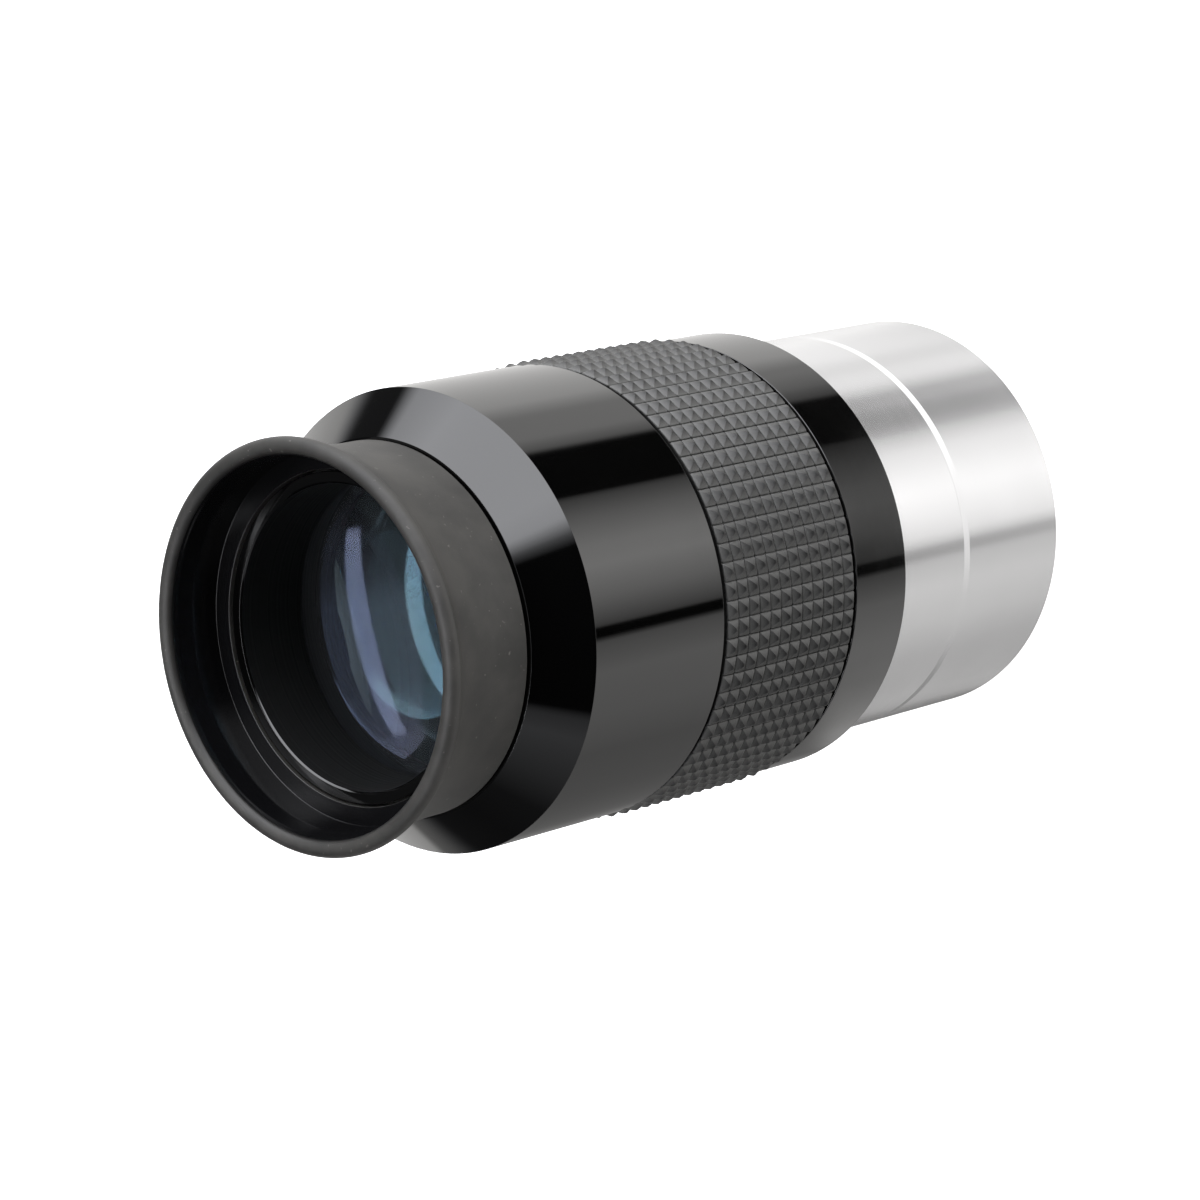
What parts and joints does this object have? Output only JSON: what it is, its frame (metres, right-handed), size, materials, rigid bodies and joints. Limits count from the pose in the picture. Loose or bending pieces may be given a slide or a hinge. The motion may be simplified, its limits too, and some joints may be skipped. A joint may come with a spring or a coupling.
{
  "type": "telescope eyepiece",
  "caption": "Two-inch telescope eyepiece with a chrome barrel, black body, rubber grip, conical top and fold-down rubber eyecup.",
  "frame": {"origin": "centre of the barrel's open end, which the eyepiece stands on", "axes": "+Z along the optical axis towards the eye; the part is round about Z"},
  "size_m": [0.056, 0.056, 0.1098],
  "materials": {
    "chrome_plate": "bright chrome plate over aluminium",
    "black_anodised": "gloss black anodised, turned",
    "inner_black": "matte black anodised",
    "grip_rubber": "matte moulded, fine pyramids",
    "eyecup_rubber": "matte moulded",
    "coated_glass": "polished, anti-reflection coated",
    "screw_steel": "blackened"
  },
  "bodies": {
    "nosepiece": {"chrome_barrel": "chrome_plate", "field_stop_ring": "inner_black"},
    "body": {"main_body": "black_anodised", "grub_screw_1": "screw_steel", "grub_screw_2": "screw_steel", "grub_screw_3": "screw_steel", "rubber_grip": "grip_rubber", "top_housing": "black_anodised", "eye_lens_cell": "inner_black", "eye_flint_lens": "coated_glass", "eye_crown_lens": "coated_glass", "eye_retaining_ring": "inner_black", "lens_cell": "inner_black", "centre_lens": "coated_glass", "lens_spacer": "inner_black", "field_crown_lens": "coated_glass", "field_flint_lens": "coated_glass", "field_retaining_ring": "inner_black", "cell_lock_ring": "inner_black"},
    "eyecup": {"rubber_eyecup": "eyecup_rubber"}
  },
  "joints": [
    {"name": "barrel_unscrew", "type": "slide", "parent": "nosepiece", "child": "body", "axis": [0, 0, 1], "range_m": [0, 0.006]},
    {"name": "eyecup_fold", "type": "slide", "parent": "body", "child": "eyecup", "axis": [0, 0, -1], "range_m": [0, 0.012], "deforming": ["rubber_eyecup"]}
  ]
}
